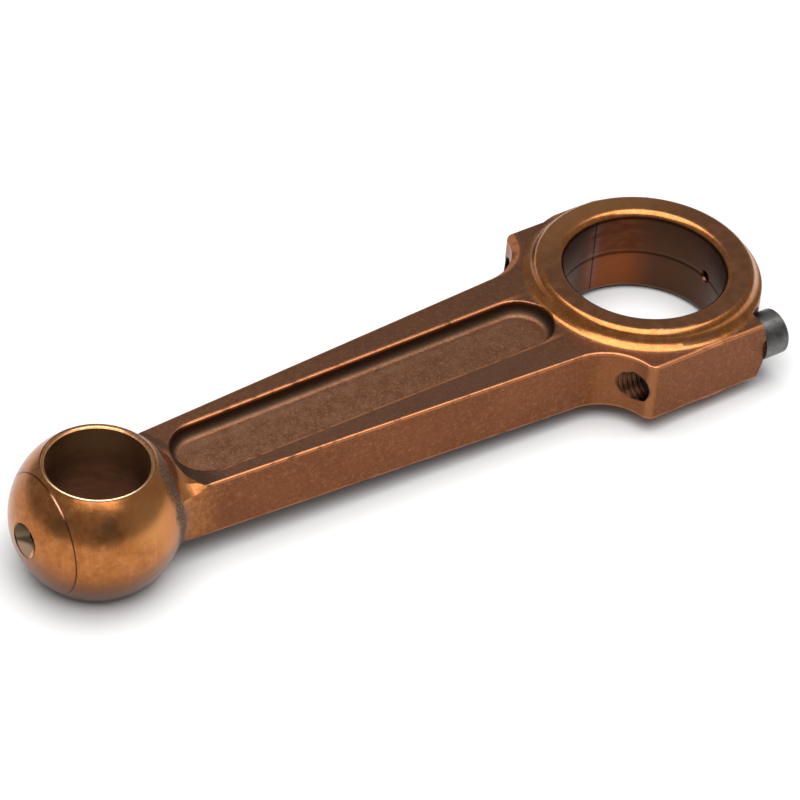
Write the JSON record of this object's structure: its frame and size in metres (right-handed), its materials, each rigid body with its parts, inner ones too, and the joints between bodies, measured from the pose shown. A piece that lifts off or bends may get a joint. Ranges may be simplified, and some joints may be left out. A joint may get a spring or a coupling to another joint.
{
  "type": "connecting rod",
  "caption": "Small-engine connecting rod: ball-shaped small end, slotted tapered beam and a split big end whose cap is held by socket head screws.",
  "frame": {"origin": "centre of the ball-shaped small end, on the axis of its pin bore", "axes": "+X from the small end to the crank bore, +Z along both bores, +Y across the rod"},
  "size_m": [0.1197, 0.0362, 0.018],
  "materials": {
    "copper_rod": "tarnished copper plate on steel, polished on the ball and grainy on the beam's sides and in the slots",
    "copper_cap": "tarnished copper plate on steel, smooth",
    "black_screw": "black oxide, satin"
  },
  "bodies": {
    "rod": {"rod_body": "copper_rod"},
    "cap": {"bearing_cap": "copper_cap"},
    "near_screw": {"near_cap_screw": "black_screw"},
    "far_screw": {"far_cap_screw": "black_screw"}
  },
  "joints": [
    {"name": "cap_off", "type": "slide", "parent": "rod", "child": "cap", "axis": [1, 0, 0], "range_m": [0, 0.014]},
    {"name": "near_screw_out", "type": "slide", "parent": "cap", "child": "near_screw", "axis": [1, 0, 0], "range_m": [0, 0.02]},
    {"name": "far_screw_out", "type": "slide", "parent": "cap", "child": "far_screw", "axis": [1, 0, 0], "range_m": [0, 0.02]}
  ]
}
